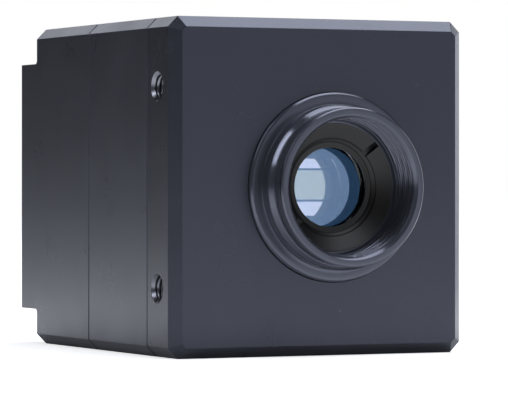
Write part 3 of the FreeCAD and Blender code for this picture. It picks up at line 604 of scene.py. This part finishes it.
class CAMERA_OT_side_threads(Operator):
    """Cut the M5 threads into the mounting holes of the left side and the underside"""
    bl_idname = "vision_camera.side_threads"
    bl_label = "Side threads"

    def execute(self, context):
        for name in ("left_threads", "underside_threads"):
            mount = MOUNTS[name]
            dims = mount["dims"]
            inward = -np.array(mount["axis"])
            spacing = (dims.get("spacing_x_mm", 0), 0, dims.get("spacing_y_mm", 0))
            for title, way in ((name + "_first", -1), (name + "_second", 1)):
                start = Vector(mount["pos_m"]) + way * (Vector(spacing) * MM / 2)
                mesh = thread_liner(title, np.array(start), inward, dims["hole_r_mm"] * MM)
                add_piece(title, mesh, material=cut_aluminium())
        return {"FINISHED"}


def thread_liner(name, start, inward, root, depth=5.4 * MM, sides=72, steps=12):
    """The wall of a tapped hole that starts at a point and runs inward.

    At the mouth the radius falls like a cone's. Behind it, it is the root's radius less the height
    of a helical thread, which fades in and out over one turn. Each turn has that many steps.
    """
    settings = bpy.context.scene.camera_side_threads
    upright = abs(inward[2]) > 0.5
    across = np.array([1.0, 0.0, 0.0]) if upright else np.array([0.0, 0.0, 1.0])
    second = np.cross(inward, across)
    mouth, land, wall = 0.57 * MM, 0.05 * MM, 0.03 * MM
    angle = np.linspace(0, tau, sides, endpoint=False)[None, :]
    reach = np.linspace(-mouth, depth, int(depth / settings.pitch * steps))[:, None]
    fade_in = np.clip(reach / settings.pitch, 0, 1)
    fade_out = np.clip((depth - reach) / settings.pitch, 0, 1)
    ridge = settings.height * (fade_in * fade_out) * thread(reach, angle, settings.pitch)
    hole = root + np.clip(-land - reach, 0, mouth) + 0 * angle
    radius = np.concatenate([hole - ridge - wall / 2, (hole + wall / 2)[::-1]], axis=0)
    reach = np.concatenate([reach, reach[::-1]], axis=0)
    points = (start + reach[..., None] * inward
              + (radius * np.cos(angle))[..., None] * across
              + (radius * np.sin(angle))[..., None] * second)
    return surface(name, points)


CORNER = 0.07 * MM        # curve left on each corner of the mount, and the step along its thread
LONGEST_STEP = 0.6 * MM   # along the rest of the mount's profile
NEAR_BORE = 0.02 * MM     # a radius this close to the thread's crest is the bore's
MOUTH_RADIUS = 12.85      # of the cone in which the bore starts, in millimetres


class CAMERA_OT_lens_mount(Operator):
    """Turn the lens mount with its bead, grooved rim and the real lens thread"""
    bl_idname = "vision_camera.lens_mount"
    bl_label = "Lens mount"

    def execute(self, context):
        settings = context.scene.camera_mount
        crest = MOUNTS["lens_thread"]["dims"]["r_mm"]
        profile, seat_depth = mount_profile(crest)
        start, end = (MOUTH_RADIUS - crest) * MM, seat_depth * MM
        crest = crest * MM
        profile = rounded(profile * MM, CORNER)
        along_bore = np.abs(profile[:, 1] - crest) < NEAR_BORE
        along_bore &= np.roll(along_bore, -1)
        profile = divided(profile, np.where(along_bore, CORNER, LONGEST_STEP))

        def swell(depth, angle, radius):
            """In the bore the radius grows by the cut's depth times 1 less the thread's height."""
            bore = (np.abs(radius - crest) < NEAR_BORE) & (depth > start) & (depth < end)
            runout = np.clip((end - depth) / settings.pitch, 0, 1)
            cut = (settings.root - crest) * runout * (1 - thread(depth, angle, settings.pitch))
            return np.where(bore, radius + cut, radius)

        mesh = turned("lens_mount_turned", profile, sides=300, swell=swell)
        piece = add_piece("lens_mount_turned", mesh, "lens_mount", material=anodised_mount())
        shade_evenly(piece)
        dress("mount_screws", stainless())
        return {"FINISHED"}


def mount_profile(crest):
    """The lens mount's closed profile of (depth, radius) and its ring seat's depth, in millimetres.

    From the bore it goes over the rim, the groove, the band, the bead and the flange to the back,
    and inside back to the bore by the lip, the filter's seat and the ring's seat.
    """
    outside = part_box("lens_mount")[1]
    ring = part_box("retaining_ring")
    flange, back = outside.x / MM, outside.y / MM
    rim, rim_edge, rim_end = 14.1, 0.25, 0.5
    groove, groove_end, band = 13.6, 1.15, 13.95
    bead, bead_start, bead_step, bead_slope = 14.75, 3.1, 0.15, 0.9
    flange_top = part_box("front_housing")[0].y / MM - 1.0
    flange_back, flange_edge = flange_top + 3.0, 0.35
    spigot, lip = 13.1, 8.2
    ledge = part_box("filter_seal")[1].y / MM
    filter_seat, filter_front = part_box("filter_window")[1].x / MM + 0.05, ring[1].y / MM
    ring_seat, seat_depth = ring[1].x / MM + 0.03, ring[0].y / MM
    profile = [
        (MOUTH_RADIUS - crest, crest), (0.0, MOUTH_RADIUS),
        (0.0, rim - rim_edge), (rim_edge, rim), (rim_end, rim),
        (rim_end, groove), (groove_end, groove), (groove_end, band), (bead_start, band),
        (bead_start, band + bead_step), (bead_start + bead_slope, bead), (flange_top, bead),
        (flange_top, flange - flange_edge), (flange_top + flange_edge, flange),
        (flange_back, flange), (flange_back, spigot), (back, spigot),
        (back, lip), (ledge, lip), (ledge, filter_seat), (filter_front, filter_seat),
        (filter_front, ring_seat), (seat_depth, ring_seat), (seat_depth, crest),
    ]
    return np.array(profile), seat_depth


class CAMERA_OT_retaining_ring(Operator):
    """Turn the dished retaining ring, step it and cut its two spanner slots"""
    bl_idname = "vision_camera.retaining_ring"
    bl_label = "Retaining ring"

    def execute(self, context):
        settings = context.scene.camera_optics
        low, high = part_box("retaining_ring")
        front, back, radius = low.y / MM, high.y / MM, high.x / MM
        first, second, rise = front + 1.15, front + 1.7, 0.2
        outer_step, inner_step, aperture, relief = 8.75, 8.05, 7.08, 8.2
        lip_front, lip_back = back - 1.1, back - 0.7
        profile = np.array([
            (front, radius), (first, outer_step), (first + rise, outer_step), (second, inner_step),
            (second + rise, inner_step), (lip_front, aperture), (lip_back, aperture),
            (lip_back, relief), (back, relief), (back, radius),
        ])
        profile = divided(rounded(profile * MM, radius=0.05 * MM), longest=0.4 * MM)
        mesh = turned("retaining_ring_turned", profile, sides=240)
        piece = add_piece(
            "retaining_ring_turned", mesh, "retaining_ring", material=black_baffle())
        blocks = slot_blocks(settings, front * MM, radius * MM)
        cutter = bpy.data.objects.new("spanner_slots", blocks)
        context.scene.collection.objects.link(cutter)
        cut = piece.modifiers.new("spanner_slots", "BOOLEAN")
        cut.object = cutter
        cut.operation = "DIFFERENCE"
        settle(piece)
        bpy.data.objects.remove(cutter)
        return {"FINISHED"}


def slot_blocks(settings, front, radius, inner=7.9 * MM, depth=1.5 * MM, beyond=1 * MM):
    """Two boxes on a line through the axis, one on each side, where a spanner's pins go in.

    They run from the inner radius to beyond the ring's, and from beyond its front to that depth.
    """
    edit = bmesh.new()
    along = np.array([cos(settings.slot_angle), 0, sin(settings.slot_angle)])
    across = np.array([-along[2], 0, along[0]])
    half = settings.slot_width / 2
    for way in (1, -1):
        corners = [
            edit.verts.new(way * reach * along + side * across + (0, level, 0))
            for reach in (inner, radius + beyond)
            for side in (-half, half)
            for level in (front - beyond, front + depth)
        ]
        bmesh.ops.convex_hull(edit, input=corners)
    bmesh.ops.recalc_face_normals(edit, faces=edit.faces)
    mesh = bpy.data.meshes.new("slot_blocks")
    edit.to_mesh(mesh)
    edit.free()
    return mesh


class CAMERA_OT_filter(Operator):
    """Turn the filter window and dress its seal"""
    bl_idname = "vision_camera.filter"
    bl_label = "Filter window"

    def execute(self, context):
        settings = context.scene.camera_optics
        low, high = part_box("filter_window")
        edge, axis = 0.1 * MM, 1e-6 * MM
        profile = np.array([
            (low.y, axis), (low.y, high.x - edge), (low.y + edge, high.x),
            (high.y - edge, high.x), (high.y, high.x - edge), (high.y, axis),
        ])
        mesh = turned("filter_window_turned", profile, sides=128)
        mesh.materials.append(filter_glass("front", settings.front_coat))
        mesh.materials.append(filter_glass("back", settings.back_coat))
        middle = np.empty(len(mesh.polygons) * 3)
        mesh.polygons.foreach_get("center", middle)
        at_back = middle[1::3] > high.y - edge / 4
        mesh.polygons.foreach_set("material_index", at_back.astype(int))
        add_piece("filter_window_turned", mesh, "filter_window", crease=radians(20))
        dress("filter_seal", rubber())
        return {"FINISHED"}


class CAMERA_OT_sensor(Operator):
    """Dress the image sensor: ceramic package, silicon and cover glass"""
    bl_idname = "vision_camera.sensor"
    bl_label = "Image sensor"

    def execute(self, context):
        dress("sensor_die", bare_silicon())
        dress("sensor_cover_glass", cover_glass())
        finished_copy("sensor_package", 0.15 * MM, fired_ceramic())
        return {"FINISHED"}


class CAMERA_OT_electronics(Operator):
    """Dress the circuit boards and what they carry"""
    bl_idname = "vision_camera.electronics"
    bl_label = "Electronics"

    def execute(self, context):
        for board in ("sensor", "processor", "interface"):
            dress(board + "_board", solder_resist())
            dress(board + "_spacers", brass())
            dress(board + "_screws", stainless())
        dress("processor_chip", chip_epoxy())
        dress("thermal_pad", thermal_gel())
        dress("flat_cable", polyimide())
        for node in ("board_link", "cable_socket_front", "cable_socket_rear"):
            dress(node, moulded_black())
        return {"FINISHED"}


class CAMERA_OT_fasteners(Operator):
    """Dress the four long screws in the rear notches"""
    bl_idname = "vision_camera.fasteners"
    bl_label = "Corner screws"

    def execute(self, context):
        finished_copy("corner_screws", 0.12 * MM, stainless())
        return {"FINISHED"}


class CAMERA_OT_data_socket(Operator):
    """Dress the network socket"""
    bl_idname = "vision_camera.data_socket"
    bl_label = "Data socket"

    def execute(self, context):
        finished_copy("data_socket_shell", 0.12 * MM, nickel())
        finished_copy("data_socket_core", 0.12 * MM, moulded_black())
        dress("data_contacts", gold())
        return {"FINISHED"}


class CAMERA_OT_power_socket(Operator):
    """Dress the round power socket"""
    bl_idname = "vision_camera.power_socket"
    bl_label = "Power socket"

    def execute(self, context):
        finished_copy("power_socket_shell", 0.15 * MM, nickel())
        finished_copy("power_socket_core", 0.06 * MM, moulded_black())
        dress("power_socket_nut", nickel())
        dress("power_pins", gold())
        return {"FINISHED"}


class CAMERA_OT_status_light(Operator):
    """Dress the light pipe beside the sockets"""
    bl_idname = "vision_camera.status_light"
    bl_label = "Status light"

    def execute(self, context):
        finished_copy("status_light", 0.25 * MM, light_pipe(), segments=4)
        return {"FINISHED"}


# ---------------------------------------------------------------- studio

# name, direction from the object, distance, width and height in metres, and radiance, where 1 is
# white; the remarks say what each lights or is mirrored in
LAMPS = (
    ("overhead_softbox", (0.3, 0.05, 1.0), 0.9, 0.8, 0.8, 4.4),            # lights the top
    ("front_key", (0.25, -0.72, 0.65), 0.95, 0.5, 0.35, 3.6),              # lights the front
    ("right_front_softbox", (0.45, -0.90, 0.12), 1.1, 1.1, 0.9, 0.55),     # in the front face
    ("right_front_core", (0.4435, -0.8963, 0.03), 1.05, 0.14, 0.12, 0.6),  # in the sensor
    ("right_rear_softbox", (0.90, 0.43, 0.15), 1.0, 0.5, 0.7, 1.6),        # in the right bevel
    ("upper_left_strip", (-0.72, -0.12, 0.66), 0.9, 0.14, 0.6, 9.0),       # on the bead
    ("rear_softbox", (0.0, 0.89, 0.445), 1.2, 0.5, 0.35, 1.3),             # in the upper left bevel
)
LAMP_COLOUR = linear("#F1F5FF")
ROOM_LIGHT = 0.04            # radiance of the white room, except to the camera, which sees 1


def studio_floor():
    """Matt white paper that glows, by the distance of a point from the object's centre.

    To the camera the glow rises with the distance until the paper is plain white, so that only the
    object's shadow is left. To the object the glow is painted light, a floor that shines like a lamp:
    nought below it as a painted shadow of the object, strongest close by and nought again further
    off, so that the sides mirror a floor that fades.
    """
    material, shader = new_material("white paper sweep", linear("#E7E7E7"), 1.0)
    if shader:
        place = add_node(material, "ShaderNodeTexCoord").outputs["Object"]
        reach = add_node(material, "ShaderNodeVectorMath", {0: place, 1: CENTRE},
                         operation="DISTANCE").outputs["Value"]
        to_camera = add_node(material, "ShaderNodeMapRange", {
            "Value": reach, "From Min": 0.12, "From Max": 0.5, "To Min": 0.62, "To Max": 1.0})
        # painted light: the floor's glow to the object shines like a lamp, and is nought at the
        # object's foot as a painted shadow
        close_by = add_node(material, "ShaderNodeMapRange", {
            "Value": reach, "From Min": 0.05, "From Max": 0.1, "To Min": 0.0, "To Max": 1.0})
        to_object = add_node(material, "ShaderNodeMapRange", {
            "Value": reach, "From Min": 0.12, "From Max": 0.45,
            "To Min": close_by.outputs[0], "To Max": 0.0})
        camera_ray = add_node(material, "ShaderNodeLightPath").outputs["Is Camera Ray"]
        glow = add_node(material, "ShaderNodeMix", {
            0: camera_ray, 2: to_object.outputs[0], 3: to_camera.outputs[0]})
        shader.inputs["Emission Color"].default_value = (1, 1, 1, 1)
        material.node_tree.links.new(glow.outputs[0], shader.inputs["Emission Strength"])
        vary(material, shader, patches(material, 2 * MM), roughness=(0.95, 1.0))
    return material


def softbox(name, toward, distance, width, height, radiance):
    """A rectangular lamp that faces the object; its power is radiance times pi times its area."""
    data = bpy.data.lights.new(name, "AREA")
    data.shape = "RECTANGLE"
    data.size, data.size_y = width, height
    data.energy = radiance * pi * width * height
    data.color = LAMP_COLOUR
    lamp = bpy.data.objects.new(name, data)
    lamp.location = CENTRE + Vector(toward).normalized() * distance
    lamp.rotation_euler = (CENTRE - lamp.location).to_track_quat("-Z", "Y").to_euler()
    lamp.visible_camera = False
    bpy.context.scene.collection.objects.link(lamp)


def round_floor(settings):
    """A flat round sheet at the object's foot: its corners lie at equal angles on one circle."""
    angle = np.linspace(0, tau, settings.sides, endpoint=False)
    ring = np.stack([np.cos(angle), np.sin(angle), 0 * angle], axis=-1) * settings.floor_radius
    ring[:, 2] = CAD_BOX[0].z
    mesh = bpy.data.meshes.new("floor")
    mesh.from_pydata(ring, [], [list(range(settings.sides))])
    floor = bpy.data.objects.new("floor", mesh)
    bpy.context.scene.collection.objects.link(floor)
    mesh.materials.append(studio_floor())


def white_room():
    """A world that is white to the camera and dim to everything else."""
    world = bpy.data.worlds.new("white_room")
    world.use_nodes = True
    world.node_tree.nodes.clear()
    camera_ray = add_node(world, "ShaderNodeLightPath").outputs["Is Camera Ray"]
    level = add_node(world, "ShaderNodeMapRange", {
        "Value": camera_ray, "To Min": ROOM_LIGHT, "To Max": 1.0})
    glow = add_node(world, "ShaderNodeBackground", {
        "Color": (1, 1, 1, 1), "Strength": level.outputs[0]})
    add_node(world, "ShaderNodeOutputWorld", {"Surface": glow.outputs[0]})
    return world


def studio_camera(settings):
    """A camera at its distance and bearing from the lens rim, level, that looks along its yaw."""
    view = bpy.data.cameras.new("camera")
    view.sensor_width = 36
    view.sensor_fit = "HORIZONTAL"
    view.lens = settings.focal
    view.shift_y = settings.shift
    view.clip_end = 20
    eye = bpy.data.objects.new("camera", view)
    eye.location = (-settings.distance * sin(settings.bearing),
                    -settings.distance * cos(settings.bearing), settings.height)
    look = Vector((sin(settings.yaw), cos(settings.yaw), 0))
    eye.rotation_euler = look.to_track_quat("-Z", "Y").to_euler()
    bpy.context.scene.collection.objects.link(eye)
    return eye


class CAMERA_OT_studio(Operator):
    """Set up the floor, the soft lamps, the white surroundings and the camera"""
    bl_idname = "vision_camera.studio"
    bl_label = "Studio"

    def execute(self, context):
        scene = context.scene
        round_floor(scene.camera_studio)
        for lamp in LAMPS:
            softbox(*lamp)
        scene.world = white_room()
        scene.camera = studio_camera(scene.camera_studio)
        scene.view_settings.view_transform = "Standard"
        return {"FINISHED"}


class CAMERA_PT_finish(Panel):
    """Lists the operators and the sizes and colours to change"""
    bl_label = "Vision camera"
    bl_idname = "CAMERA_PT_finish"
    bl_space_type = "VIEW_3D"
    bl_region_type = "UI"
    bl_category = "Vision camera"

    def draw(self, context):
        for operator in OPERATORS:
            self.layout.operator(operator.bl_idname)
        for name, group in SETTINGS.items():
            for field in group.__annotations__:
                self.layout.prop(getattr(context.scene, name), field)


SETTINGS = {
    "camera_housing": HousingSettings,
    "camera_mount": MountSettings,
    "camera_optics": OpticsSettings,
    "camera_side_threads": SideThreadSettings,
    "camera_studio": StudioSettings,
}
OPERATORS = (
    CAMERA_OT_housing, CAMERA_OT_side_threads, CAMERA_OT_lens_mount, CAMERA_OT_retaining_ring,
    CAMERA_OT_filter, CAMERA_OT_sensor, CAMERA_OT_electronics, CAMERA_OT_fasteners,
    CAMERA_OT_data_socket, CAMERA_OT_power_socket, CAMERA_OT_status_light, CAMERA_OT_studio,
)


def register():
    for item in (*SETTINGS.values(), *OPERATORS, CAMERA_PT_finish):
        bpy.utils.register_class(item)
    for name, group in SETTINGS.items():
        setattr(bpy.types.Scene, name, PointerProperty(type=group))


def unregister():
    for name in SETTINGS:
        delattr(bpy.types.Scene, name)
    for item in reversed((*SETTINGS.values(), *OPERATORS, CAMERA_PT_finish)):
        bpy.utils.unregister_class(item)


def main():
    register()
    for operator in OPERATORS:
        family, name = operator.bl_idname.split(".")
        getattr(getattr(bpy.ops, family), name)()


if __name__ == "__main__":
    main()
